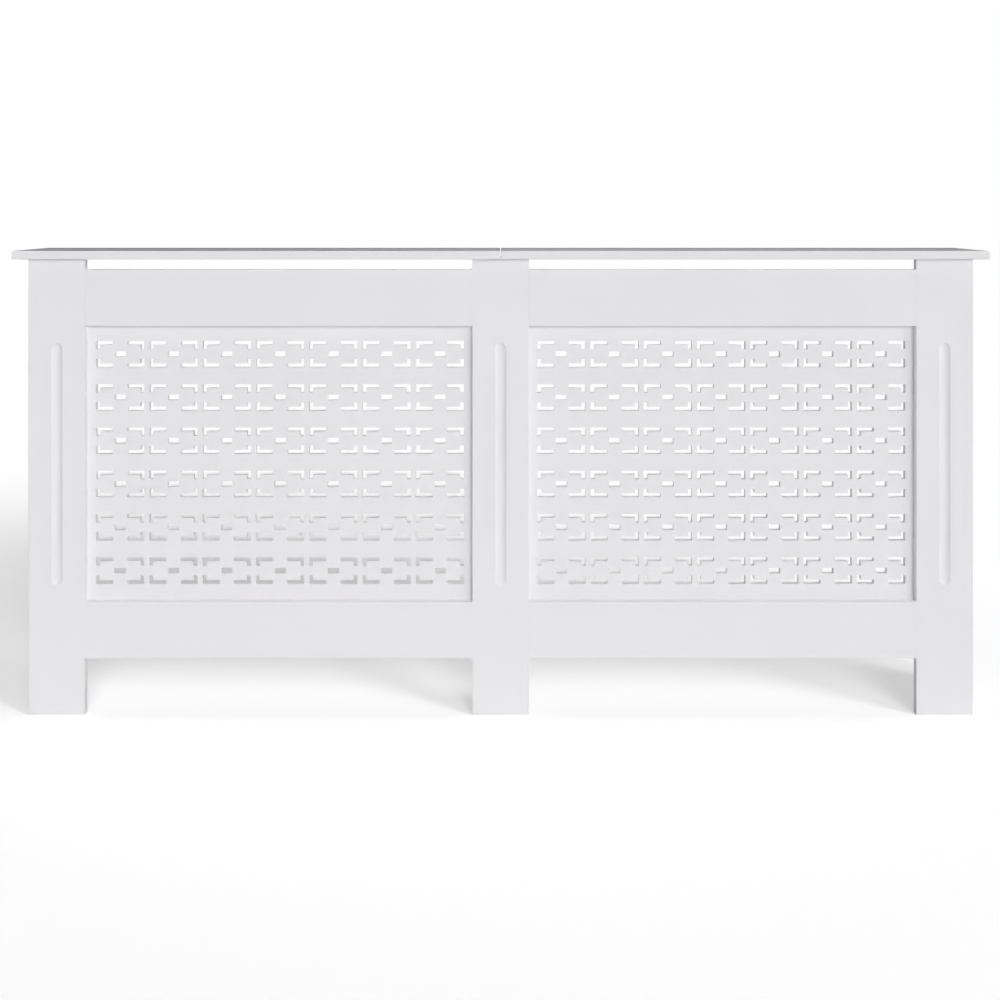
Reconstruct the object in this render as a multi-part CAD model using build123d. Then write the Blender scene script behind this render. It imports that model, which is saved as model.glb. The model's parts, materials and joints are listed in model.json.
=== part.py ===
from build123d import *

import os
from math import atan, cos, degrees, pi

# Radiator cover cabinet of painted board, in millimetres.
# X runs along the wall, the front faces -Y, the wall is at +Y and Z is up. The origin is on the floor,
# under the middle of the cover. Left and right are as seen from the front, so left is -X.

# Overall sizes
cover_width = 1720.0  # over the ends of the shelf
cover_depth = 190.0  # front edge of the shelf to the wall
cover_height = 820.0  # floor to the top of the shelf

# Board stock
board = 15.0  # thickness of shelf, posts, rails and side panels
grille_thickness = 12.0

# Shelf
shelf_overhang_front = 10.0  # past the face of the posts
shelf_overhang_side = 26.0  # past the side panels
shelf_joint_gap = 2.0  # between the two shelf boards
shelf_edge_cut = 1.0  # sanded edges

# Front frame
post_width = 100.0
top_rail_height = 100.0
bottom_rail_height = 100.0
air_inlet_height = 100.0  # floor to the bottom rail
air_outlet_height = 18.0  # top rail to the shelf
frame_edge_cut = 0.5  # sanded front edges

# Flute in the face of each post, cut with a round-nosed bit
flute_width = 20.0
flute_depth = 4.0
flute_end_margin = 29.5  # end of the flute to the edge of the nearer rail

# Fretwork: each cell has an L-shaped slot in each corner and a dash in the middle
cell_width = 85.6
cell_height = 47.0
cell_gap_x = 9.1
cell_gap_z = 29.9
corner_arm_x = 30.0
corner_arm_z = 15.0
slot_stroke = 7.0
dash_width = 20.0
dash_height = 10.0
fret_border_x = 14.0  # least plain border beside the cells
fret_border_z = 25.0  # least plain border above and below the cells
grille_lap_x = 25.0  # grille behind the posts
grille_lap_z = 30.0  # grille behind the rails

# Dowels
dowel_diameter = 8.0
dowel_length = 30.0
dowel_face_depth = 10.0  # into the face of a board, the rest is in an edge

# Cam bolts and cam locks
cam_diameter = 15.0
cam_height = 12.0
cam_bore_depth = 12.5
cam_to_edge = 34.0  # cam centre to the edge of its board
bolt_diameter = 6.0
bolt_thread_length = 10.5
bolt_head_diameter = 7.0
bolt_head_length = 2.4
bolt_bore_diameter = 8.0
cam_slot_width = 7.6  # channel in the cam that takes the bolt head
cam_drive_length = 9.0  # screwdriver slot
cam_drive_width = 1.6
cam_drive_depth = 1.8

# Where the joints sit
rail_dowel_in = 25.0  # dowel in from the edge of the rail that the grille laps
rail_fitting_spacing = 50.0  # dowel to cam, across the rail
side_cam_margin = 120.0  # cams of a side panel to the floor and to the shelf
shelf_cam_spacing = 100.0  # pair of cams at the top of a side panel
middle_cam_spacing = 40.0  # pair of cams at the top of the middle post

# Countersunk wood screws
screw_diameter = 3.5
screw_head_diameter = 7.0
screw_head_height = 2.0
screw_tip_length = 3.0
grille_screw_length = 20.0
fitting_screw_length = 12.0
grille_screw_from_opening = 13.0  # screw line to the edge of the opening
grille_screw_end_margin = 110.0  # screws of a rail to the posts

# Steel plate under the shelf joint
plate_length = 100.0
plate_width = 16.0
plate_thickness = 2.0
plate_hole_spacing = 24.0
plate_hole_gap = 28.0  # between the inner two holes
plate_from_wall = 35.0  # middle of the plate to the wall

# Wall brackets on the side panels
bracket_leg = 30.0
bracket_width = 20.0
bracket_thickness = 2.0
bracket_below_shelf = 105.0  # underside of the shelf to the middle of the bracket
bracket_hole_from_corner = 18.0
wall_hole_diameter = 4.5
plate_corner_cut = 3.0  # corners of the plate and the brackets

# Fits
bore_clearance = 0.05  # on the radius, dowels, bolts, cams and screws in their bores
bore_end_room = 0.5  # bore past the end of a dowel or bolt
cut_margin = 1.0  # how far a cutting solid stands out of the face that it opens

# Dowels, bolts, cams, screws and their bores are round and repeat by the dozen, so each is a prism
fitting_sides = 8

# Places worked out from the sizes above
shelf_front = -cover_depth / 2
wall = cover_depth / 2
frame_front = shelf_front + shelf_overhang_front
frame_back = frame_front + board
frame_middle = frame_front + board / 2
shelf_underside = cover_height - board
frame_half_width = cover_width / 2 - shelf_overhang_side
opening_near = post_width / 2
opening_far = frame_half_width - post_width
opening_width = opening_far - opening_near
opening_middle = (opening_near + opening_far) / 2
outer_post_middle = frame_half_width - post_width / 2
bottom_rail_top = air_inlet_height + bottom_rail_height
top_rail_top = shelf_underside - air_outlet_height
top_rail_bottom = top_rail_top - top_rail_height
opening_height = top_rail_bottom - bottom_rail_top
opening_centre = (top_rail_bottom + bottom_rail_top) / 2
side_panel_middle = frame_half_width - board / 2
side_panel_inside = frame_half_width - board
side_panel_centre_y = (frame_back + wall) / 2
bracket_height = shelf_underside - bracket_below_shelf
sides = {"left": -1, "right": 1}


def block(x_range, y_range, z_range):
    """Box between two values on each axis, given in either order."""
    ranges = [sorted(r) for r in (x_range, y_range, z_range)]
    sizes = [high - low for low, high in ranges]
    centre = [(low + high) / 2 for low, high in ranges]
    return Pos(*centre) * Box(*sizes)


def place(origin, into, face):
    """Frame on a joint plane: local Z runs into one board and local X looks out of its face."""
    return Plane(origin=origin, x_dir=face, z_dir=into).location


def front_edges(solid):
    """Edges of the face that looks to the front."""
    return solid.faces().sort_by(Axis.Y)[0].edges()


# Boards


def shelf_board(sign):
    """One half of the shelf, all edges eased."""
    half = block((sign * shelf_joint_gap / 2, sign * cover_width / 2), (shelf_front, wall),
                 (shelf_underside, cover_height))
    return chamfer(half.edges(), shelf_edge_cut)


def flute(x_middle):
    """Cutting solid of one flute: a cove with the ball ends that the bit leaves."""
    radius = ((flute_width / 2) ** 2 + flute_depth ** 2) / (2 * flute_depth)
    half_run = opening_height / 2 - flute_end_margin - flute_width / 2
    axis_y = frame_front + flute_depth - radius
    cutter = Cylinder(radius, 2 * half_run)
    cutter += [Pos(0, 0, end * half_run) * Sphere(radius) for end in (-1, 1)]
    return Pos(x_middle, axis_y, opening_centre) * cutter


def post(x_middle):
    """Upright post from the floor to the shelf, with its flute and eased front edges."""
    body = block((x_middle - post_width / 2, x_middle + post_width / 2), (frame_front, frame_back),
                 (0, shelf_underside))
    return chamfer(front_edges(body), frame_edge_cut) - flute(x_middle)


def rail(sign, z_low, z_high):
    """Rail between two posts, front edges eased."""
    body = block((sign * opening_near, sign * opening_far), (frame_front, frame_back), (z_low, z_high))
    return chamfer(front_edges(body), frame_edge_cut)


def side_panel(sign):
    """End board from the back of the outer post to the wall."""
    body = block((sign * side_panel_inside, sign * frame_half_width), (frame_back, wall),
                 (0, shelf_underside))
    return chamfer(body.faces().sort_by(Axis.Y)[-1].edges(), frame_edge_cut)


# Fretwork


def corner_slot():
    """L-shaped slot with its outer corner at the top left of the cell."""
    corner = (Align.MIN, Align.MAX)
    outline = Rectangle(corner_arm_x, slot_stroke, align=corner)
    outline += Rectangle(slot_stroke, corner_arm_z, align=corner)
    return Pos(-cell_width / 2, cell_height / 2) * outline


def fret_cell():
    """Openings of one cell: the corner slot mirrored into four corners, and the dash."""
    top = [corner_slot(), mirror(corner_slot(), Plane.YZ)]
    bottom = [mirror(slot, Plane.XZ) for slot in top]
    return top + bottom + [Rectangle(dash_width, dash_height)]


def cell_count(opening, border, size, gap):
    """How many cells fit between two borders."""
    return int((opening - 2 * border + gap) // (size + gap))


def grille(sign):
    """Fretwork panel that lies on the back of the frame and laps it all round."""
    columns = cell_count(opening_width, fret_border_x, cell_width, cell_gap_x)
    rows = cell_count(opening_height, fret_border_z, cell_height, cell_gap_z)
    panel = Rectangle(opening_width + 2 * grille_lap_x, opening_height + 2 * grille_lap_z)
    cells = GridLocations(cell_width + cell_gap_x, cell_height + cell_gap_z, columns, rows)
    openings = [where * slot for where in cells for slot in fret_cell()]
    outline = Face(panel.face().outer_wire(), [slot.face().outer_wire() for slot in openings])
    back = Plane(origin=(sign * opening_middle, frame_back + grille_thickness, opening_centre),
                 x_dir=(1, 0, 0), z_dir=(0, -1, 0))
    return extrude(back * outline, amount=grille_thickness)


# Fittings, each made in the frame that place() gives


def bar(diameter, z_low, z_high):
    """Small round bar along local Z."""
    outline = Pos(0, 0, z_low) * RegularPolygon(diameter / 2, fitting_sides)
    return extrude(outline, amount=z_high - z_low)


def narrowing(top_diameter, z_top, low_diameter, z_low):
    """Small round bar that narrows evenly down local Z."""
    outline = RegularPolygon(top_diameter / 2, fitting_sides)
    inward = (top_diameter - low_diameter) / 2 * cos(pi / fitting_sides)
    height = z_top - z_low
    upturned = extrude(outline, amount=height, taper=degrees(atan(inward / height)))
    return Pos(0, 0, z_top) * Rot(180, 0, 0) * upturned


def bore(diameter, z_low, z_high):
    """Cutting solid for a small round piece along local Z, with the fit clearance."""
    return bar(diameter + 2 * bore_clearance, z_low, z_high)


def dowel(depth_into):
    """Dowel, depth_into of it past the joint plane."""
    return bar(dowel_diameter, depth_into - dowel_length, depth_into)


def cam_bolt():
    """Connecting bolt: threaded rod with a head that the cam grips."""
    head_end = cam_to_edge + bolt_head_length / 2
    head_start = head_end - bolt_head_length
    return bar(bolt_diameter, -bolt_thread_length, head_start) + bar(bolt_head_diameter, head_start, head_end)


def across_board(solid, face_depth):
    """Turn a bar that starts at Z = 0 to local X, from a depth under the board's face outwards."""
    return Pos(board / 2 - face_depth, 0, cam_to_edge) * Rot(0, 90, 0) * solid


def cam():
    """Cam lock, its drive face level with the face of the board."""
    body = across_board(bar(cam_diameter, 0, cam_height), cam_height)
    half_slot = cam_slot_width / 2
    channel = block((-half_slot, half_slot), (-half_slot, half_slot),
                    (cam_to_edge - cam_diameter, cam_to_edge + half_slot))
    drive = block((board / 2 - cam_drive_depth, board / 2 + cut_margin),
                  (-cam_drive_length / 2, cam_drive_length / 2),
                  (cam_to_edge - cam_drive_width / 2, cam_to_edge + cam_drive_width / 2))
    return body - channel - drive


def cam_bores():
    """Cutting solids in the board that holds the cam: the bolt's bore and the cam's own."""
    cam_bore = across_board(bore(cam_diameter, 0, cam_bore_depth + cut_margin), cam_bore_depth)
    return [bore(bolt_bore_diameter, -cut_margin, cam_to_edge), cam_bore]


def screw(length):
    """Countersunk screw down local -Z, its head level with Z = 0."""
    tip_start = screw_tip_length - length
    head = narrowing(screw_head_diameter, 0, screw_diameter, -screw_head_height)
    tip = narrowing(screw_diameter, tip_start, screw_diameter / 2, -length)
    return head + bar(screw_diameter, tip_start, -screw_head_height) + tip


def screw_bore(length):
    """Cutting solid for a screw: its hole and the countersink for its head."""
    growth = 2 * bore_clearance
    countersink = narrowing(screw_head_diameter + growth, 0, screw_diameter + growth, -screw_head_height)
    return countersink + bore(screw_diameter, -length - bore_end_room, -screw_head_height)


def joint_plate():
    """Flat steel plate along X under the shelf joint."""
    plate = Pos(0, wall - plate_from_wall, shelf_underside - plate_thickness / 2) * Box(
        plate_length, plate_width, plate_thickness)
    return chamfer(plate.edges().filter_by(Axis.Z), plate_corner_cut)


def wall_bracket(sign):
    """Angle bracket: one leg on the side panel, one flat on the wall with a hole for a wall screw."""
    corner_x = sign * side_panel_inside
    z_range = (bracket_height - bracket_width / 2, bracket_height + bracket_width / 2)
    panel_leg = block((corner_x - sign * bracket_thickness, corner_x), (wall - bracket_leg, wall), z_range)
    wall_leg = block((corner_x - sign * bracket_leg, corner_x), (wall - bracket_thickness, wall), z_range)
    panel_corners = panel_leg.faces().sort_by(Axis.Y)[0].edges().filter_by(Axis.X)
    wall_corners = wall_leg.faces().sort_by(Axis.X)[0 if sign > 0 else -1].edges().filter_by(Axis.Y)
    hole = Pos(corner_x - sign * bracket_hole_from_corner, wall, bracket_height) * Rot(90, 0, 0) * Cylinder(
        wall_hole_diameter / 2, bracket_leg)
    return chamfer(panel_corners, plate_corner_cut) + chamfer(wall_corners, plate_corner_cut) - hole


# Assembly


def rail_ends(sign, side):
    """Ends of the rails on one side as X, direction into the rail, cam and dowel height, post and rail."""
    levels = (("top", top_rail_top - top_rail_height, 1), ("bottom", bottom_rail_top, -1))
    posts = ((opening_near, 1, "post_middle"), (opening_far, -1, f"post_{side}"))
    return [(sign * x, (sign * inward, 0, 0),
             edge + away * (rail_dowel_in + rail_fitting_spacing), edge + away * rail_dowel_in,
             upright, f"{level}_rail_{side}")
            for level, edge, away in levels for x, inward, upright in posts]


def dowel_joints():
    """Each dowel as its group, its frame, its depth past the joint, and the two boards."""
    joints = []
    face_depth = dowel_length - dowel_face_depth
    for side, sign in sides.items():
        for x, inward, _, dowel_level, upright, rail_name in rail_ends(sign, side):
            where = place((x, frame_middle, dowel_level), inward, (0, 1, 0))
            joints.append(("rail_dowels", where, dowel_length / 2, upright, rail_name))
        where = place((sign * side_panel_middle, frame_back, shelf_underside / 2), (0, 1, 0), (-sign, 0, 0))
        joints.append(("side_dowels", where, face_depth, f"post_{side}", f"side_panel_{side}"))
        where = place((sign * outer_post_middle, frame_middle, shelf_underside), (0, 0, -1), (0, 1, 0))
        joints.append(("shelf_dowels", where, face_depth, f"shelf_{side}", f"post_{side}"))
    return joints


def cam_joints():
    """Each cam joint as its group, its frame, the board with the bolt and the board with the cam."""
    joints = []
    for side, sign in sides.items():
        for x, inward, cam_level, _, upright, rail_name in rail_ends(sign, side):
            where = place((x, frame_middle, cam_level), inward, (0, 1, 0))
            joints.append(("rail", where, upright, rail_name))
        for height in (side_cam_margin, shelf_underside - side_cam_margin):
            where = place((sign * side_panel_middle, frame_back, height), (0, 1, 0), (-sign, 0, 0))
            joints.append(("side", where, f"post_{side}", f"side_panel_{side}"))
        for offset in (-shelf_cam_spacing / 2, shelf_cam_spacing / 2):
            where = place((sign * side_panel_middle, side_panel_centre_y + offset, shelf_underside),
                          (0, 0, -1), (-sign, 0, 0))
            joints.append(("shelf", where, f"shelf_{side}", f"side_panel_{side}"))
        where = place((sign * middle_cam_spacing / 2, frame_middle, shelf_underside), (0, 0, -1), (0, 1, 0))
        joints.append(("shelf", where, f"shelf_{side}", "post_middle"))
    return joints


def grille_screw_places(sign, side):
    """Screws of one grille as X, Z and the board behind: two in each rail and one in each post."""
    reach = opening_width / 2 - grille_screw_end_margin
    places = [(sign * opening_middle + x, z, holder) for x in (-reach, reach)
              for z, holder in ((top_rail_bottom + grille_screw_from_opening, f"top_rail_{side}"),
                                (bottom_rail_top - grille_screw_from_opening, f"bottom_rail_{side}"))]
    places.append((sign * (opening_near - grille_screw_from_opening), opening_centre, "post_middle"))
    places.append((sign * (opening_far + grille_screw_from_opening), opening_centre, f"post_{side}"))
    return places


def screw_joints():
    """Each screw as its group, the frame of its head, its length and the two pieces that it joins."""
    joints = []
    for side, sign in sides.items():
        for x, z, holder in grille_screw_places(sign, side):
            where = place((x, frame_back + grille_thickness, z), (0, 1, 0), (1, 0, 0))
            joints.append((f"grille_screws_{side}", where, grille_screw_length, (f"grille_{side}", holder)))
        for x in (plate_hole_gap / 2, plate_hole_gap / 2 + plate_hole_spacing):
            where = place((sign * x, wall - plate_from_wall, shelf_underside - plate_thickness),
                          (0, 0, -1), (1, 0, 0))
            joints.append(("joint_plate_screws", where, fitting_screw_length,
                           ("joint_plate", f"shelf_{side}")))
        where = place((sign * (side_panel_inside - bracket_thickness), wall - bracket_hole_from_corner,
                       bracket_height), (-sign, 0, 0), (0, 0, 1))
        joints.append(("wall_bracket_screws", where, fitting_screw_length,
                       (f"wall_bracket_{side}", f"side_panel_{side}")))
    return joints


def boards_and_plates():
    """Every board, grille, plate and bracket before its bores are cut."""
    pieces = {
        "post_left": post(-outer_post_middle),
        "post_middle": post(0),
        "post_right": post(outer_post_middle),
    }
    for side, sign in sides.items():
        pieces[f"shelf_{side}"] = shelf_board(sign)
        pieces[f"side_panel_{side}"] = side_panel(sign)
        pieces[f"top_rail_{side}"] = rail(sign, top_rail_bottom, top_rail_top)
        pieces[f"bottom_rail_{side}"] = rail(sign, air_inlet_height, bottom_rail_top)
        pieces[f"grille_{side}"] = grille(sign)
        pieces[f"wall_bracket_{side}"] = wall_bracket(sign)
    pieces["joint_plate"] = joint_plate()
    return pieces


def build():
    """All nodes: the bored boards and the groups of fittings."""
    pieces = boards_and_plates()
    cutters = {name: [] for name in pieces}
    groups = {}
    for group, where, depth, near_board, far_board in dowel_joints():
        groups.setdefault(group, []).append(where * dowel(depth))
        near_end = depth - dowel_length - bore_end_room
        cutters[near_board].append(where * bore(dowel_diameter, near_end, cut_margin))
        cutters[far_board].append(where * bore(dowel_diameter, -cut_margin, depth + bore_end_room))
    for group, where, bolt_board, cam_board in cam_joints():
        groups.setdefault(f"{group}_cam_bolts", []).append(where * cam_bolt())
        groups.setdefault(f"{group}_cams", []).append(where * cam())
        thread_end = -bolt_thread_length - bore_end_room
        cutters[bolt_board].append(where * bore(bolt_diameter, thread_end, cut_margin))
        cutters[cam_board] += [where * cutter for cutter in cam_bores()]
    for group, where, length, holders in screw_joints():
        groups.setdefault(group, []).append(where * screw(length))
        for holder in holders:
            cutters[holder].append(where * screw_bore(length))
    nodes = {name: piece - cutters[name] if cutters[name] else piece for name, piece in pieces.items()}
    nodes.update({name: Compound(children=solids) for name, solids in groups.items()})
    return nodes


def write_parts():
    """One STEP file for each node."""
    os.makedirs("parts", exist_ok=True)
    for name, shape in build().items():
        export_step(shape, f"parts/{name}.step")


write_parts()
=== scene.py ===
import json
import math

import bmesh
import bpy
from mathutils import Matrix, Vector

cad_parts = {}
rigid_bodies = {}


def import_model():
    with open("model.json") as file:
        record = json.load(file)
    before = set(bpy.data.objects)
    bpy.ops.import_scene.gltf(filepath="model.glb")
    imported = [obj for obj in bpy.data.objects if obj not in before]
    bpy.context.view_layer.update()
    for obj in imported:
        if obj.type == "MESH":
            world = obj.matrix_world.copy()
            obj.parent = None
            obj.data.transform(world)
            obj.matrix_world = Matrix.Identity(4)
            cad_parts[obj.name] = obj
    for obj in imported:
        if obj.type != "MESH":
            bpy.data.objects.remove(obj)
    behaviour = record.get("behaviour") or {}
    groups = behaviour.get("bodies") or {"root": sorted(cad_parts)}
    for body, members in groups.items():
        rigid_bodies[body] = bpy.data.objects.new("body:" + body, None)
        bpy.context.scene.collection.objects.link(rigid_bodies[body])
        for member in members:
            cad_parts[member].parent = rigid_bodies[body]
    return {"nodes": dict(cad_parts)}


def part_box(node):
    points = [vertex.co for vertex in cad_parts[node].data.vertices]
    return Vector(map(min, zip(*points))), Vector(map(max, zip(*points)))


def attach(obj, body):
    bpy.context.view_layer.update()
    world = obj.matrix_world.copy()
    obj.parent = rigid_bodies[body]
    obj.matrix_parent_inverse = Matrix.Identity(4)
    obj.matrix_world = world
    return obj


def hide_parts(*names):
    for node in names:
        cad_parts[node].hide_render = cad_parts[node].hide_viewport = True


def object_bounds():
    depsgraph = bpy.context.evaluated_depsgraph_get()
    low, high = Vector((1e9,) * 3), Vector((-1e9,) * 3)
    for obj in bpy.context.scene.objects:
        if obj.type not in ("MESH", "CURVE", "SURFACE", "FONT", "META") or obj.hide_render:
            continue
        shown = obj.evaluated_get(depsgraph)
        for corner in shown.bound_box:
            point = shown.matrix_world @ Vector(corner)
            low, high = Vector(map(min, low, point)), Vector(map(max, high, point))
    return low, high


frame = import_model()
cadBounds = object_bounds()
nodes = frame["nodes"]
mm = 0.001


def linearColour(hexCode):
    # sRGB hex to the linear colour that a node takes
    channels = [int(hexCode[i:i + 2], 16) / 255 for i in (0, 2, 4)]
    return [c / 12.92 if c <= 0.04045 else ((c + 0.055) / 1.055) ** 2.4 for c in channels] + [1]


def addNode(tree, kind, settings=None, inputs=None):
    # adds a node, sets its properties, then fills or links its inputs
    node = tree.nodes.new(kind)
    for name, value in (settings or {}).items():
        setattr(node, name, value)
    for name, value in (inputs or {}).items():
        if isinstance(value, bpy.types.NodeSocket):
            tree.links.new(value, node.inputs[name])
        else:
            node.inputs[name].default_value = value
    return node


def newMaterial(name):
    material = bpy.data.materials.new(name)
    material.use_nodes = True
    material.node_tree.nodes.clear()
    return material, material.node_tree


def featureScale(sizeMm):
    # noise scale that gives features of this size on Object coordinates in metres
    return 1 / (sizeMm * mm)


def meshFrom(name, bm):
    mesh = bpy.data.meshes.new(name)
    bm.to_mesh(mesh)
    bm.free()
    return mesh


def newObject(name, bm, material):
    mesh = meshFrom(name, bm)
    mesh.materials.append(material)
    piece = bpy.data.objects.new(name, mesh)
    bpy.context.scene.collection.objects.link(piece)
    return piece


# paint of the boards
boardPaint = {
    "colour": "eae9eb",
    "shade": "e6e5e7",  # where the coat is thinner
    "edgeShade": "eae9eb",  # sawn edges of the shelf and the sides
    "frameEdgePaintedLight": "f3f2f4",  # edges of posts and rails, painted lighter than the faces to stand in for light on the recess sides and ledges
    "routedPaintedLight": "fdfcfe",  # walls of the fretwork, painted lighter than the faces to stand in for light in the slots
    "roughness": 0.6,
    "edgeRoughness": 0.7,
    "specular": 0.04,
    "ior": 1.5,
    "skimShade": 0.977,  # painted shade: a tinted coat that darkens the shelf, the more the nearer edge-on it is seen, for the shade on its top
    "skimRoughness": 0.6,
    "peelMm": 2.2,  # orange peel of a sprayed coat
    "fibreMm": 0.7,  # raised fibres on cut edges, drawn coarser than the real 0.1 mm so that they show
    "reliefDepthMm": 0.03,  # of the peel and of the fibres
    "reliefStrength": 0.6,
    "driftMm": 140,  # slow changes of coat thickness over a board
    "edgeBelow": 0.2,  # a surface that faces the board's face direction by less is a cut edge
    "faceAbove": 0.6,  # and one that faces it by more is a face
}


def paintedBoard(name, faceAxis, edgeColourAndLight, skimShade=None):
    # MDF sprayed with satin white paint: even and soft, faint orange peel on the faces,
    # a drier coat with raised fibres on the cut edges
    material, tree = newMaterial(name)
    place = addNode(tree, "ShaderNodeTexCoord").outputs["Object"]
    drift = addNode(tree, "ShaderNodeTexNoise", None,
                    {"Vector": place, "Scale": featureScale(boardPaint["driftMm"]), "Detail": 2.0})
    peel = addNode(tree, "ShaderNodeTexNoise", None,
                   {"Vector": place, "Scale": featureScale(boardPaint["peelMm"]), "Detail": 2.0})
    fibre = addNode(tree, "ShaderNodeTexNoise", None,
                    {"Vector": place, "Scale": featureScale(boardPaint["fibreMm"]), "Detail": 3.0})
    facing = addNode(tree, "ShaderNodeNewGeometry").outputs["True Normal"]
    facingAxes = addNode(tree, "ShaderNodeSeparateXYZ", None, {"Vector": facing})
    facingSize = addNode(tree, "ShaderNodeMath", {"operation": "ABSOLUTE"},
                         {0: facingAxes.outputs[faceAxis]}).outputs[0]
    cutEdge = addNode(tree, "ShaderNodeMapRange", None,
                      {"Value": facingSize, "From Min": boardPaint["edgeBelow"],
                       "From Max": boardPaint["faceAbove"], "To Min": 1.0, "To Max": 0.0})
    coat = addNode(tree, "ShaderNodeMix", {"data_type": "RGBA"},
                   {"Factor": drift.outputs["Fac"], "A": linearColour(boardPaint["shade"]),
                    "B": linearColour(boardPaint["colour"])})
    # cut edges take the edge colour, which on the frame and the fretwork is painted light
    coatAndEdge = addNode(tree, "ShaderNodeMix", {"data_type": "RGBA"},
                          {"Factor": cutEdge.outputs["Result"], "A": coat.outputs["Result"],
                           "B": linearColour(edgeColourAndLight)})
    gloss = addNode(tree, "ShaderNodeMapRange", None,
                    {"Value": cutEdge.outputs["Result"], "To Min": boardPaint["roughness"],
                     "To Max": boardPaint["edgeRoughness"]})
    relief = addNode(tree, "ShaderNodeMix", {"data_type": "FLOAT"},
                     {"Factor": cutEdge.outputs["Result"], "A": peel.outputs["Fac"],
                      "B": fibre.outputs["Fac"]})
    bump = addNode(tree, "ShaderNodeBump", None,
                   {"Height": relief.outputs["Result"], "Distance": boardPaint["reliefDepthMm"] * mm,
                    "Strength": boardPaint["reliefStrength"]})
    paint = addNode(tree, "ShaderNodeBsdfPrincipled", None,
                    {"Base Color": coatAndEdge.outputs["Result"], "Roughness": gloss.outputs["Result"],
                     "Normal": bump.outputs["Normal"], "Specular IOR Level": boardPaint["specular"],
                     "IOR": boardPaint["ior"]})
    # painted shade: a clear coat with no reflection, only a grey tint, darkens the shelf's top
    if skimShade:
        paint.inputs["Coat Weight"].default_value = 1.0
        paint.inputs["Coat IOR"].default_value = 1.0
        paint.inputs["Coat Roughness"].default_value = boardPaint["skimRoughness"]
        paint.inputs["Coat Tint"].default_value = (skimShade, skimShade, skimShade, 1)
    addNode(tree, "ShaderNodeOutputMaterial", None, {"Surface": paint.outputs["BSDF"]})
    return material


# the frame's cut edges take painted light
framePaint = paintedBoard("satinPaintFrame", "Y", boardPaint["frameEdgePaintedLight"])
# the fretwork's slot walls take painted light
fretworkPaint = paintedBoard("satinPaintFretwork", "Y", boardPaint["routedPaintedLight"])
shelfPaint = paintedBoard("satinPaintShelf", "Z", boardPaint["edgeShade"], boardPaint["skimShade"])
sidePaint = paintedBoard("satinPaintSides", "X", boardPaint["edgeShade"])
boardsByPaint = (
    (framePaint, ("post_left", "post_middle", "post_right", "top_rail_left", "top_rail_right",
                  "bottom_rail_left", "bottom_rail_right")),
    (fretworkPaint, ("grille_left", "grille_right")),
    (shelfPaint, ("shelf_left", "shelf_right")),
    (sidePaint, ("side_panel_left", "side_panel_right")),
)
for paint, boardNames in boardsByPaint:
    for boardName in boardNames:
        nodes[boardName].data.materials.clear()
        nodes[boardName].data.materials.append(paint)
print("boards painted")


# metal of the plate, brackets, bolts and screws
zincPlate = {
    "colour": "c9cacb",
    "shade": "b4b6b9",
    "roughnessLow": 0.24,
    "roughnessHigh": 0.4,
    "spangleMm": 1.5,
    "rollingMm": 0.4,  # rolling lines of the strip, drawn coarser than real so that they show
    "lineStretch": 10,  # how much longer than wide the lines are
    "lineDepthMm": 0.01,
    "lineStrength": 0.5,
}


def zincPlatedSteel():
    # rolled steel with bright zinc plate: pale grey, faintly mottled, fine lines
    material, tree = newMaterial("zincPlatedSteel")
    place = addNode(tree, "ShaderNodeTexCoord").outputs["Object"]
    mottle = addNode(tree, "ShaderNodeTexNoise", None,
                     {"Vector": place, "Scale": featureScale(zincPlate["spangleMm"]), "Detail": 3.0})
    stretched = addNode(tree, "ShaderNodeMapping", None,
                        {"Vector": place, "Scale": (1 / zincPlate["lineStretch"], 1.0, 1.0)})
    lines = addNode(tree, "ShaderNodeTexNoise", None,
                    {"Vector": stretched.outputs["Vector"], "Scale": featureScale(zincPlate["rollingMm"]),
                     "Detail": 2.0})
    colour = addNode(tree, "ShaderNodeMix", {"data_type": "RGBA"},
                     {"Factor": mottle.outputs["Fac"], "A": linearColour(zincPlate["shade"]),
                      "B": linearColour(zincPlate["colour"])})
    gloss = addNode(tree, "ShaderNodeMapRange", None,
                    {"Value": mottle.outputs["Fac"], "To Min": zincPlate["roughnessLow"],
                     "To Max": zincPlate["roughnessHigh"]})
    bump = addNode(tree, "ShaderNodeBump", None,
                   {"Height": lines.outputs["Fac"], "Distance": zincPlate["lineDepthMm"] * mm,
                    "Strength": zincPlate["lineStrength"]})
    steel = addNode(tree, "ShaderNodeBsdfPrincipled", None,
                    {"Base Color": colour.outputs["Result"], "Metallic": 1.0,
                     "Roughness": gloss.outputs["Result"], "Normal": bump.outputs["Normal"]})
    addNode(tree, "ShaderNodeOutputMaterial", None, {"Surface": steel.outputs["BSDF"]})
    return material


# metal of the cams
castZinc = {
    "colour": "a9a9a8",
    "shade": "8f8f90",
    "roughness": 0.5,
    "grainMm": 0.6,
    "grainDepthMm": 0.03,
    "grainStrength": 0.6,
}


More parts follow.
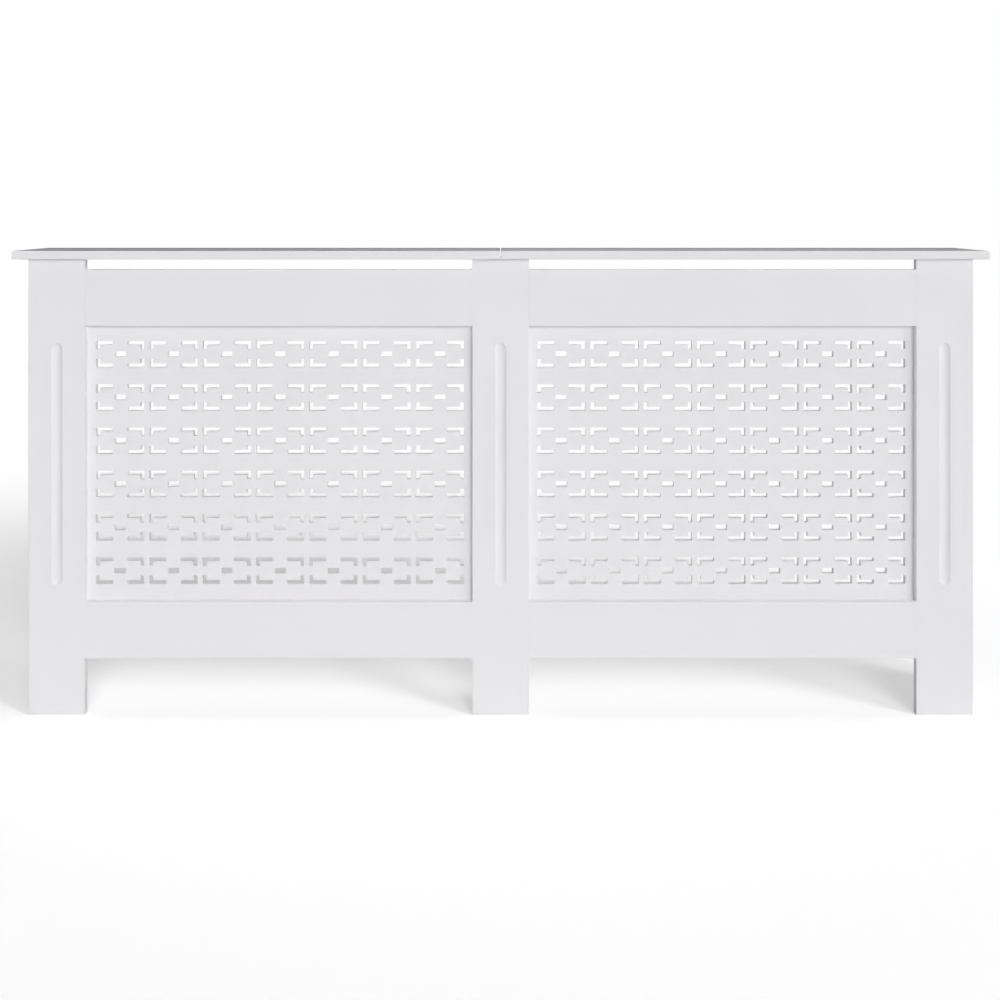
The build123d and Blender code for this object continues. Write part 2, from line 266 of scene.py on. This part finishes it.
def castZincAlloy():
    # die-cast zinc alloy left as cast: dull mid grey with a fine cast grain
    material, tree = newMaterial("castZincAlloy")
    place = addNode(tree, "ShaderNodeTexCoord").outputs["Object"]
    grain = addNode(tree, "ShaderNodeTexNoise", None,
                    {"Vector": place, "Scale": featureScale(castZinc["grainMm"]), "Detail": 3.0})
    colour = addNode(tree, "ShaderNodeMix", {"data_type": "RGBA"},
                     {"Factor": grain.outputs["Fac"], "A": linearColour(castZinc["shade"]),
                      "B": linearColour(castZinc["colour"])})
    bump = addNode(tree, "ShaderNodeBump", None,
                   {"Height": grain.outputs["Fac"], "Distance": castZinc["grainDepthMm"] * mm,
                    "Strength": castZinc["grainStrength"]})
    alloy = addNode(tree, "ShaderNodeBsdfPrincipled", None,
                    {"Base Color": colour.outputs["Result"], "Metallic": 1.0,
                     "Roughness": castZinc["roughness"], "Normal": bump.outputs["Normal"]})
    addNode(tree, "ShaderNodeOutputMaterial", None, {"Surface": alloy.outputs["BSDF"]})
    return material


steelMaterial = zincPlatedSteel()
castMaterial = castZincAlloy()
for metalName in ("joint_plate", "wall_bracket_left", "wall_bracket_right"):
    nodes[metalName].data.materials.clear()
    nodes[metalName].data.materials.append(steelMaterial)
print("metal ready")


# wood of the dowels
beechWood = {
    "colour": "d9b78f",
    "shade": "c9a57b",
    "fleck": "a97f58",  # darker ray flecks
    "fleckFrom": 0.6,  # noise level where a fleck starts
    "fleckFull": 0.68,  # and where it is at its darkest
    "roughness": 0.55,
    "ior": 1.5,
    "grainMm": 0.6,
    "fleckMm": 0.9,
    "stretch": 9,  # how much longer than wide the grain marks are
    "grainDepthMm": 0.04,
    "grainStrength": 0.6,
}


def plainBeech(grainAxis):
    # turned steamed beech, unfinished: warm pinkish tan, fine straight grain with short dark flecks
    material, tree = newMaterial(f"beechAlong{'XYZ'[grainAxis]}")
    place = addNode(tree, "ShaderNodeTexCoord").outputs["Object"]
    squeeze = [1 / beechWood["stretch"] if axis == grainAxis else 1.0 for axis in range(3)]
    along = addNode(tree, "ShaderNodeMapping", None, {"Vector": place, "Scale": squeeze}).outputs["Vector"]
    grain = addNode(tree, "ShaderNodeTexNoise", None,
                    {"Vector": along, "Scale": featureScale(beechWood["grainMm"]), "Detail": 4.0})
    fleck = addNode(tree, "ShaderNodeTexNoise", None,
                    {"Vector": along, "Scale": featureScale(beechWood["fleckMm"]), "Detail": 1.0})
    fleckShare = addNode(tree, "ShaderNodeMapRange", None,
                         {"Value": fleck.outputs["Fac"], "From Min": beechWood["fleckFrom"],
                          "From Max": beechWood["fleckFull"]})
    wood = addNode(tree, "ShaderNodeMix", {"data_type": "RGBA"},
                   {"Factor": grain.outputs["Fac"], "A": linearColour(beechWood["shade"]),
                    "B": linearColour(beechWood["colour"])})
    flecked = addNode(tree, "ShaderNodeMix", {"data_type": "RGBA"},
                      {"Factor": fleckShare.outputs["Result"], "A": wood.outputs["Result"],
                       "B": linearColour(beechWood["fleck"])})
    bump = addNode(tree, "ShaderNodeBump", None,
                   {"Height": grain.outputs["Fac"], "Distance": beechWood["grainDepthMm"] * mm,
                    "Strength": beechWood["grainStrength"]})
    surface = addNode(tree, "ShaderNodeBsdfPrincipled", None,
                      {"Base Color": flecked.outputs["Result"], "Roughness": beechWood["roughness"],
                       "Normal": bump.outputs["Normal"], "IOR": beechWood["ior"]})
    addNode(tree, "ShaderNodeOutputMaterial", None, {"Surface": surface.outputs["BSDF"]})
    return material


# shapes of the fittings in mm, each along its own Z, with the joint or the board's face at Z = 0
turning = {
    "steps": 24,  # round a bolt or a screw
    "camSteps": 40,  # round a cam
    "weldMm": 0.001,  # points nearer than this are one
}


def turned(bm, outline, steps):
    # spins an outline of radius and height round Z
    points = [bm.verts.new((radius * mm, 0, height * mm)) for radius, height in outline]
    lines = [bm.edges.new(pair) for pair in zip(points, points[1:])]
    bmesh.ops.spin(bm, geom=points + lines, cent=(0, 0, 0), axis=(0, 0, 1), dvec=(0, 0, 0),
                   angle=math.tau, steps=steps, use_merge=True, use_duplicate=False)
    bmesh.ops.remove_doubles(bm, verts=bm.verts, dist=turning["weldMm"] * mm)


def raiseLoop(bm, edges, height, scale):
    # extrudes a loop of edges upwards and scales the new loop
    made = bmesh.ops.extrude_edge_only(bm, edges=edges)["geom"]
    points = [item for item in made if isinstance(item, bmesh.types.BMVert)]
    bmesh.ops.translate(bm, vec=(0, 0, height * mm), verts=points)
    bmesh.ops.scale(bm, vec=(scale, scale, 1), verts=points)
    return [item for item in made if isinstance(item, bmesh.types.BMEdge)
            and all(point in points for point in item.verts)]


threadForm = {
    "rootDepth": 0.3,  # how far the ridge is let into the core
    "flank": 0.32,  # width of each flank, as a share of the pitch
    "stepsPerTurn": 12,
}


def threadRidge(bm, thread, low, high):
    # helix that stands on the core of a threaded bar, between two heights
    foot, crest = thread["core"] - threadForm["rootDepth"], thread["core"] + thread["ridge"]
    pitch, stepsPerTurn = thread["pitch"], threadForm["stepsPerTurn"]
    corners = [(foot, 0), (crest, pitch * threadForm["flank"]), (foot, pitch * threadForm["flank"] * 2)]
    points = [bm.verts.new((radius * mm, 0, (low + height) * mm)) for radius, height in corners]
    start = bm.faces.new(points)
    steps = int(((high - low) / pitch - 1) * stepsPerTurn)
    bmesh.ops.spin(bm, geom=[start, *start.edges, *points], cent=(0, 0, 0), axis=(0, 0, 1),
                   dvec=(0, 0, pitch * mm / stepsPerTurn), angle=math.tau * steps / stepsPerTurn,
                   steps=steps, use_merge=False, use_duplicate=False)


def crossRecess(bm, recess, level):
    # closes the open round top of a turned piece with a cross recess for the screwdriver
    rim = [edge for edge in bm.edges if edge.is_boundary]
    arm, half = recess["arm"], recess["width"] / 2
    points = [bm.verts.new(Matrix.Rotation(turn * math.pi / 2, 3, "Z") @ Vector((x, y, level)) * mm)
              for turn in range(4) for x, y in ((arm, -half), (arm, half), (half, half))]
    mouth = [bm.edges.new(pair) for pair in zip(points, points[1:] + points[:1])]
    bmesh.ops.triangle_fill(bm, use_beauty=True, edges=rim + mouth, normal=(0, 0, 1))
    bottom = raiseLoop(bm, mouth, -recess["depth"], recess["taper"])
    bmesh.ops.triangle_fill(bm, use_beauty=True, edges=bottom, normal=(0, 0, 1))


def finishedShape(name, bm):
    bmesh.ops.recalc_face_normals(bm, faces=bm.faces)
    return meshFrom(name, bm)


dowel = {
    "radius": 4.0,
    "length": 30.0,
    "chamfer": 1.2,
    "chamferSlope": 0.6,  # how far the end draws in for each mm of chamfer
    "grooves": 12,
    "grooveDepth": 0.35,
    "pointsPerGroove": 3,
    "depthInRail": 15,  # past the joint, into the end of a rail
    "depthInEdge": 20,  # into the edge of a side panel, or into the top of a post
}


def dowelShape(depthInto):
    # grooved dowel, so much of its length past the joint
    bm = bmesh.new()
    sides = dowel["pointsPerGroove"] * dowel["grooves"]
    points = bmesh.ops.create_circle(bm, segments=sides, radius=dowel["radius"] * mm)["verts"]
    grooveShare = 1 - dowel["grooveDepth"] / dowel["radius"]
    bmesh.ops.scale(bm, vec=(grooveShare, grooveShare, 1), verts=points[::dowel["pointsPerGroove"]])
    endShare = 1 - dowel["chamfer"] / dowel["radius"] * dowel["chamferSlope"]
    bmesh.ops.scale(bm, vec=(endShare, endShare, 1), verts=points)
    bmesh.ops.translate(bm, vec=(0, 0, (depthInto - dowel["length"]) * mm), verts=points)
    loop = raiseLoop(bm, bm.edges[:], dowel["chamfer"], 1 / endShare)
    loop = raiseLoop(bm, loop, dowel["length"] - 2 * dowel["chamfer"], 1)
    raiseLoop(bm, loop, dowel["chamfer"], endShare)
    bmesh.ops.holes_fill(bm, edges=bm.edges, sides=sides)
    return finishedShape("dowel", bm)


camBolt = {
    "core": 2.3,
    "ridge": 0.7,
    "pitch": 1.4,
    "threadLength": 10.5,
    "threadFromTip": 0.3,
    "threadFromJoint": 0.6,
    "tipLength": 1.0,
    "tipShare": 0.7,  # end of the tip to the core
    "collar": 3.0,
    "collarLow": (-0.8, -0.5),  # start and end of the cone from core to collar
    "collarHigh": (26, 27.5),  # and of the cone from collar to neck
    "neck": 2.0,
    "headRadius": 3.5,
    "headLow": 32.8,  # from the joint
    "headHigh": 35.2,
    "headEdge": 0.2,
    "headDome": 0.7,
    "headTopShare": 0.72,  # flat top of the head to its width
    "recess": {"arm": 1.7, "width": 0.9, "depth": 1.3, "taper": 0.55},
}


def camBoltShape():
    # connecting bolt: wood thread, plain collar, thin neck and the head that the cam grips
    b = camBolt
    tip = -b["threadLength"]
    bm = bmesh.new()
    turned(bm, [(0, tip), (b["core"] * b["tipShare"], tip), (b["core"], tip + b["tipLength"]),
                (b["core"], b["collarLow"][0]), (b["collar"], b["collarLow"][1]),
                (b["collar"], b["collarHigh"][0]), (b["neck"], b["collarHigh"][1]),
                (b["neck"], b["headLow"]), (b["headRadius"] - b["headEdge"], b["headLow"]),
                (b["headRadius"], b["headLow"] + b["headEdge"]),
                (b["headRadius"], b["headHigh"] - b["headDome"]),
                (b["headRadius"] * b["headTopShare"], b["headHigh"])], turning["steps"])
    crossRecess(bm, b["recess"], b["headHigh"])
    threadRidge(bm, b, tip + b["threadFromTip"], -b["threadFromJoint"])
    return finishedShape("camBolt", bm)


camLock = {
    "radius": 7.5,
    "height": 12.0,
    "chamfer": 0.6,
    "rimRadius": 8.3,  # thin flange that hides the edge of the bore
    "rimProud": 0.4,
    "rimWidth": 1.1,
    "rimEdge": 0.15,
    "dish": 0.25,
    "recess": {"arm": 3.4, "width": 1.7, "depth": 2.6, "taper": 0.55},
    "channel": 7.6,  # takes the bolt's head
    "arrow": {"fromRim": 1.9, "point": 1.35, "back": 0.6, "half": 1.125, "rise": 0.2, "letIn": 0.1},
    "toEdge": 34.0,  # middle of the cam to the joint
    "board": 15.0,  # thickness
}


def camLockShape():
    # die-cast cam: flanged face with a cross recess and an arrow to the bolt, channel for the bolt's head
    c = camLock
    top = c["height"] + c["rimProud"]
    face = top - c["dish"]
    inner = c["rimRadius"] - c["rimWidth"]
    bm = bmesh.new()
    turned(bm, [(0, 0), (c["radius"] - c["chamfer"], 0), (c["radius"], c["chamfer"]),
                (c["radius"], c["height"]), (c["rimRadius"], c["height"]),
                (c["rimRadius"], top - c["rimEdge"]), (c["rimRadius"] - c["rimEdge"], top),
                (inner, top), (inner - c["dish"], face)], turning["camSteps"])
    crossRecess(bm, c["recess"], face)

    arrow = c["arrow"]
    arrowAt = inner - arrow["fromRim"]
    corners = [(arrowAt + arrow["point"], 0), (arrowAt - arrow["back"], arrow["half"]),
               (arrowAt - arrow["back"], -arrow["half"])]
    foot = (face - arrow["letIn"]) * mm
    triangle = bm.faces.new([bm.verts.new((x * mm, y * mm, foot)) for x, y in corners])
    raised = bmesh.ops.extrude_face_region(bm, geom=[triangle])["geom"]
    bmesh.ops.translate(bm, vec=(0, 0, (arrow["rise"] + arrow["letIn"]) * mm),
                        verts=[item for item in raised if isinstance(item, bmesh.types.BMVert)])
    lock = bpy.data.objects.new("camLock", finishedShape("camLock", bm))

    half = c["channel"] / 2
    cutter = bmesh.new()
    bmesh.ops.create_cube(cutter, size=1)
    bmesh.ops.scale(cutter, vec=((c["radius"] * 2 + half) * mm, c["channel"] * mm, c["channel"] * mm),
                    verts=cutter.verts)
    middle = ((c["radius"] - half / 2) * mm, 0, (c["height"] - c["board"] / 2) * mm)
    bmesh.ops.translate(cutter, vec=middle, verts=cutter.verts)
    channel = bpy.data.objects.new("channel", finishedShape("channel", cutter))
    for helper in (lock, channel):
        bpy.context.scene.collection.objects.link(helper)
    cut = lock.modifiers.new("channel", "BOOLEAN")
    cut.operation = "DIFFERENCE"
    cut.solver = "EXACT"
    cut.use_self = True
    cut.object = channel
    shape = bpy.data.meshes.new_from_object(lock.evaluated_get(bpy.context.evaluated_depsgraph_get()))
    for helper in (lock, channel):
        bpy.data.objects.remove(helper)
    acrossBoard = Matrix.Translation(Vector((c["board"] / 2 - c["height"], 0, c["toEdge"])) * mm)
    shape.transform(acrossBoard @ Matrix.Rotation(math.pi / 2, 4, "Y"))
    return shape


woodScrew = {
    "core": 1.25,
    "ridge": 0.5,
    "pitch": 1.6,
    "threadFromTip": 1.2,
    "shank": 1.65,
    "shankCone": 0.6,  # from shank to core
    "headRadius": 3.6,
    "headDepth": 2.1,
    "headEdge": 0.2,
    "headProud": 0.1,
    "headCrown": 0.12,
    "tip": 3.2,
    "pointLength": 0.2,
    "pointShare": 0.25,  # blunt end of the point to the core
    "recess": {"arm": 2.0, "width": 0.95, "depth": 1.5, "taper": 0.55},
    "longLength": 20,  # holds the grilles
    "longShank": 6,
    "shortLength": 12,  # holds the joint plate and the wall brackets
}


def woodScrewShape(length, shankLength):
    # countersunk chipboard screw, its head level with Z = 0 and its point down
    s = woodScrew
    threadTop = -s["headDepth"] - shankLength
    bm = bmesh.new()
    outline = [(0, -length), (s["core"] * s["pointShare"], -length + s["pointLength"]),
               (s["core"], -length + s["tip"])]
    if shankLength:
        outline += [(s["core"], threadTop - s["shankCone"]), (s["shank"], threadTop)]
    outline += [(s["shank"] if shankLength else s["core"], -s["headDepth"]),
                (s["headRadius"], -s["headEdge"]), (s["headRadius"], 0),
                (s["headRadius"] - s["headCrown"], s["headProud"])]
    turned(bm, outline, turning["steps"])
    crossRecess(bm, s["recess"], s["headProud"])
    threadRidge(bm, s, -length + s["threadFromTip"], threadTop)
    return finishedShape("woodScrew", bm)


# places of the fittings in mm, set out from the boards
fittingPlaces = {
    "railDowelIn": 25,  # from the edge of the rail that the grille laps
    "railFittingSpacing": 50,  # dowel to cam
    "sideCamMargin": 120,  # from the floor, and from the underside of the shelf
    "shelfCamSpacing": 100,
    "middleCamSpacing": 40,
    "screwFromOpening": 13,
    "screwFromPost": 110,
    "plateHoles": (14, 38),  # from the middle of the plate
    "bracketHole": 18,  # from the wall
    "bracketThickness": 2,
}


def jointFrame(origin, along, face):
    # place on a joint: Z runs along the fitting, to the cam or to the screw's head, and X looks out
    # of the face that the cam is set in
    zAxis, xAxis = Vector(along), Vector(face)
    turn = Matrix((xAxis, zAxis.cross(xAxis), zAxis)).transposed().to_4x4()
    return Matrix.Translation(Vector(origin)) @ turn


def middleOf(box):
    return (box[0] + box[1]) / 2


frameMiddle = middleOf(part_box("post_middle")).y
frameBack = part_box("post_middle")[1].y
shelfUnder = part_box("shelf_left")[0].z
places = {name: [] for name in ("railDowels", "sideDowels", "shelfDowels", "railCams", "sideCams",
                                "shelfCams", "leftGrilleScrews", "rightGrilleScrews", "plateScrews",
                                "bracketScrews")}


def lappedEdge(side, level):
    # a rail, the height of its edge that the grille laps, and the way from there across the rail
    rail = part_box(f"{level}_rail_{side}")
    return (rail, rail[0].z, 1) if level == "top" else (rail, rail[1].z, -1)


def placeRailFittings(side):
    for level in ("top", "bottom"):
        rail, edge, across = lappedEdge(side, level)
        dowelHeight = edge + across * fittingPlaces["railDowelIn"] * mm
        camHeight = dowelHeight + across * fittingPlaces["railFittingSpacing"] * mm
        for x, inward in ((rail[0].x, 1), (rail[1].x, -1)):
            for kind, z in (("railCams", camHeight), ("railDowels", dowelHeight)):
                places[kind].append(jointFrame((x, frameMiddle, z), (inward, 0, 0), (0, 1, 0)))


def placeGrilleScrews(side):
    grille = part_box(f"grille_{side}")
    outside = fittingPlaces["screwFromOpening"] * mm
    spots = []
    for level in ("top", "bottom"):
        rail, edge, across = lappedEdge(side, level)
        reach = (rail[1].x - rail[0].x) / 2 - fittingPlaces["screwFromPost"] * mm
        spots += [(middleOf(rail).x + way * reach, edge + across * outside) for way in (-1, 1)]
    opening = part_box(f"bottom_rail_{side}")  # as wide as the rails
    spots += [(x, middleOf(grille).z) for x in (opening[0].x - outside, opening[1].x + outside)]
    places[f"{side}GrilleScrews"] = [jointFrame((x, grille[1].y, z), (0, 1, 0), (1, 0, 0))
                                     for x, z in spots]


def placeSideFittings(side, sign):
    middle = middleOf(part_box(f"side_panel_{side}"))
    inside = (-sign, 0, 0)
    margin = fittingPlaces["sideCamMargin"] * mm
    for z in (margin, shelfUnder - margin):
        places["sideCams"].append(jointFrame((middle.x, frameBack, z), (0, 1, 0), inside))
    places["sideDowels"].append(jointFrame((middle.x, frameBack, shelfUnder / 2), (0, 1, 0), inside))


def placeShelfFittings(side, sign):
    panel, post = middleOf(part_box(f"side_panel_{side}")), middleOf(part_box(f"post_{side}"))
    down = (0, 0, -1)
    for way in (-1, 1):
        y = panel.y + way * fittingPlaces["shelfCamSpacing"] / 2 * mm
        places["shelfCams"].append(jointFrame((panel.x, y, shelfUnder), down, (-sign, 0, 0)))
    x = sign * fittingPlaces["middleCamSpacing"] / 2 * mm
    places["shelfCams"].append(jointFrame((x, frameMiddle, shelfUnder), down, (0, 1, 0)))
    places["shelfDowels"].append(jointFrame((post.x, frameMiddle, shelfUnder), down, (0, 1, 0)))


def placePlateAndBracketScrews(side, sign):
    plate, bracket, panel = (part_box(name) for name in ("joint_plate", f"wall_bracket_{side}",
                                                       f"side_panel_{side}"))
    for x in fittingPlaces["plateHoles"]:
        places["plateScrews"].append(
            jointFrame((sign * x * mm, middleOf(plate).y, plate[0].z), (0, 0, -1), (1, 0, 0)))
    panelInside = panel[0].x if sign > 0 else panel[1].x
    places["bracketScrews"].append(
        jointFrame((panelInside - sign * fittingPlaces["bracketThickness"] * mm,
                    panel[1].y - fittingPlaces["bracketHole"] * mm, middleOf(bracket).z),
                   (-sign, 0, 0), (0, 0, 1)))


for side, sign in (("left", -1), ("right", 1)):
    placeRailFittings(side)
    placeGrilleScrews(side)
    placeSideFittings(side, sign)
    placeShelfFittings(side, sign)
    placePlateAndBracketScrews(side, sign)


def fittingGroup(name, nodeName, shape, frames, material):
    # one object with a copy of the shape at each place
    group = bmesh.new()
    for where in frames:
        before = set(group.verts)
        group.from_mesh(shape)
        bmesh.ops.transform(group, matrix=where, verts=[v for v in group.verts if v not in before])
    piece = newObject(name, group, material)
    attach(piece, "root")
    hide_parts(nodeName)


for kind, depth, grainAxis in (("rail", dowel["depthInRail"], 0), ("side", dowel["depthInEdge"], 1),
                               ("shelf", dowel["depthInEdge"], 2)):
    fittingGroup(f"{kind}Dowels", f"{kind}_dowels", dowelShape(depth), places[f"{kind}Dowels"],
                 plainBeech(grainAxis))
print("dowels made")

boltShape, camShape = camBoltShape(), camLockShape()
for kind in ("rail", "side", "shelf"):
    camPlaces = places[f"{kind}Cams"]
    fittingGroup(f"{kind}CamBolts", f"{kind}_cam_bolts", boltShape, camPlaces, steelMaterial)
    fittingGroup(f"{kind}Cams", f"{kind}_cams", camShape, camPlaces, castMaterial)
print("cams and cam bolts made")

longScrew = woodScrewShape(woodScrew["longLength"], woodScrew["longShank"])
shortScrew = woodScrewShape(woodScrew["shortLength"], 0)
for name, nodeName, shape in (("leftGrilleScrews", "grille_screws_left", longScrew),
                              ("rightGrilleScrews", "grille_screws_right", longScrew),
                              ("plateScrews", "joint_plate_screws", shortScrew),
                              ("bracketScrews", "wall_bracket_screws", shortScrew)):
    fittingGroup(name, nodeName, shape, places[name], steelMaterial)
print("screws made")


# floor, light and camera
room = {
    "floorSize": 200.0,  # metres
    "floorColour": "e6e6e6",
    "shownLevel": 1.72,  # how much brighter the eye sees the lit floor than it is
    "shownEven": 0.25,  # share of the shown floor that is plain white close to the object
    "shadeStart": 0.5,  # metres from the object to where its shade starts to fade
    "shadeEnd": 2.4,  # and to where the floor is plain white
    "shadeLean": 1.0,  # how much sooner it fades per metre to the right, where the light comes from
    "leanStart": -0.25,  # metres right of the middle where that begins
    "skyLevel": 0.235,
    "white": "ffffff",  # sky, and the floor where it is shown plain
}
plainWhite = linearColour(room["white"])

# what each lamp lights, its strength, and in degrees its size, how far it stands to the right of the
# front, and how far above the floor
lamps = {
    # soft box low behind the camera, and its upper part
    "front": {"lights": "all", "strength": 1.22, "size": 25, "across": 13, "rise": 6},
    "high": {"lights": "all", "strength": 0.53, "size": 30, "across": 13, "rise": 25},
    # draws the right edge of each recess
    "side": {"lights": "all", "strength": 0.48, "size": 12, "across": 48, "rise": 12},
    # fill the shelf's top and the open back
    "over": {"lights": "object", "strength": 0.9, "size": 20, "across": 0, "rise": 90},
    "back": {"lights": "object", "strength": 0.8, "size": 30, "across": 172, "rise": 3},
    # lights the floor under the rails
    "low": {"lights": "floor", "strength": 1.9, "size": 30, "across": 12, "rise": 10},
    # draws the shadow behind the right foot
    "corner": {"lights": "floor", "strength": 2.9, "size": 26, "across": 52, "rise": 10},
}


def towardLight(settings):
    # unit vector from the object to a lamp
    across, rise = math.radians(settings["across"]), math.radians(settings["rise"])
    return Vector((math.sin(across) * math.cos(rise), -math.cos(across) * math.cos(rise), math.sin(rise)))


def shownToEye(tree):
    # 1 for camera, glossy and transmission rays, 0 for the rays that light the object
    path = addNode(tree, "ShaderNodeLightPath")
    cameraOrGlossy = addNode(tree, "ShaderNodeMath", {"operation": "MAXIMUM"},
                             {0: path.outputs["Is Camera Ray"], 1: path.outputs["Is Glossy Ray"]})
    return addNode(tree, "ShaderNodeMath", {"operation": "MAXIMUM"},
                   {0: cameraOrGlossy.outputs[0], 1: path.outputs["Is Transmission Ray"]}).outputs[0]


def paleFloor():
    # matt pale sheet, shown white where no shadow falls
    material, tree = newMaterial("paleFloor")
    plain = linearColour(room["floorColour"])
    lit = addNode(tree, "ShaderNodeBsdfDiffuse", None, {"Color": plain})
    shownColour = [c * room["shownLevel"] for c in plain[:3]] + [1]
    shownLit = addNode(tree, "ShaderNodeBsdfDiffuse", None, {"Color": shownColour})
    place = addNode(tree, "ShaderNodeTexCoord").outputs["Object"]

    # distance from the object's outline on the floor
    folded = addNode(tree, "ShaderNodeVectorMath", {"operation": "ABSOLUTE"}, {0: place})
    halfSize = [(high - low) / 2 for low, high in zip(*cadBounds)]
    outside = addNode(tree, "ShaderNodeVectorMath", {"operation": "SUBTRACT"},
                      {0: folded.outputs[0], 1: halfSize[:2] + [0]})
    outwards = addNode(tree, "ShaderNodeVectorMath", {"operation": "MAXIMUM"},
                       {0: outside.outputs[0], 1: (0, 0, 0)})
    distance = addNode(tree, "ShaderNodeVectorMath", {"operation": "LENGTH"}, {0: outwards.outputs[0]})

    rightwards = addNode(tree, "ShaderNodeSeparateXYZ", None, {"Vector": place}).outputs["X"]
    toRight = addNode(tree, "ShaderNodeMapRange", {"clamp": False},
                      {"Value": rightwards, "From Min": room["leanStart"],
                       "From Max": room["leanStart"] + 1, "To Max": room["shadeLean"]})
    lean = addNode(tree, "ShaderNodeMath", {"operation": "MAXIMUM"},
                   {0: toRight.outputs["Result"], 1: 0.0})
    faded = addNode(tree, "ShaderNodeMath", {"operation": "ADD"},
                    {0: distance.outputs["Value"], 1: lean.outputs[0]})
    evenShare = addNode(tree, "ShaderNodeMapRange", {"interpolation_type": "SMOOTHSTEP"},
                        {"Value": faded.outputs[0], "From Min": room["shadeStart"],
                         "From Max": room["shadeEnd"], "To Min": room["shownEven"], "To Max": 1.0})
    even = addNode(tree, "ShaderNodeEmission", None, {"Color": plainWhite, "Strength": 1.0})
    shown = addNode(tree, "ShaderNodeMixShader", None,
                    {"Fac": evenShare.outputs["Result"], 1: shownLit.outputs[0], 2: even.outputs[0]})
    either = addNode(tree, "ShaderNodeMixShader", None,
                     {"Fac": shownToEye(tree), 1: lit.outputs[0], 2: shown.outputs[0]})
    addNode(tree, "ShaderNodeOutputMaterial", None, {"Surface": either.outputs[0]})
    return material


floorMesh = bmesh.new()
bmesh.ops.create_grid(floorMesh, x_segments=1, y_segments=1, size=room["floorSize"] / 2)
floor = newObject("floor", floorMesh, paleFloor())

world = bpy.data.worlds.new("softRoom")
bpy.context.scene.world = world
world.use_nodes = True
sky = world.node_tree
sky.nodes.clear()
lighting = addNode(sky, "ShaderNodeBackground", None, {"Color": plainWhite, "Strength": room["skyLevel"]})
white = addNode(sky, "ShaderNodeBackground", None, {"Color": plainWhite, "Strength": 1.0})
seen = addNode(sky, "ShaderNodeMixShader", None,
               {"Fac": shownToEye(sky), 1: lighting.outputs[0], 2: white.outputs[0]})
addNode(sky, "ShaderNodeOutputWorld", None, {"Surface": seen.outputs[0]})

floorOnly = bpy.data.collections.new("floorOnly")
objectOnly = bpy.data.collections.new("objectOnly")
for piece in bpy.context.scene.objects:
    if piece.type == "MESH":
        (floorOnly if piece == floor else objectOnly).objects.link(piece)
receivers = {"all": None, "floor": floorOnly, "object": objectOnly}
for lampName, settings in lamps.items():
    sun = bpy.data.lights.new(lampName, "SUN")
    sun.energy = settings["strength"]
    sun.angle = math.radians(settings["size"])
    lamp = bpy.data.objects.new(lampName, sun)
    lamp.rotation_euler = towardLight(settings).to_track_quat("Z", "Y").to_euler()
    lamp.light_linking.receiver_collection = receivers[settings["lights"]]
    bpy.context.scene.collection.objects.link(lamp)

eye = {
    "place": (0, -2.442, 0.895),
    "sensorWidth": 36,
    "lens": 48.06,
    "shiftX": -0.0006,
    "shiftY": -0.2917,
}
cameraData = bpy.data.cameras.new("camera")
cameraData.sensor_width = eye["sensorWidth"]
cameraData.lens = eye["lens"]
cameraData.shift_x = eye["shiftX"]
cameraData.shift_y = eye["shiftY"]
camera = bpy.data.objects.new("camera", cameraData)
camera.location = eye["place"]
camera.rotation_euler = (math.radians(90), 0, 0)
bpy.context.scene.collection.objects.link(camera)
bpy.context.scene.camera = camera
bpy.context.scene.view_settings.view_transform = "Standard"
print("room ready")
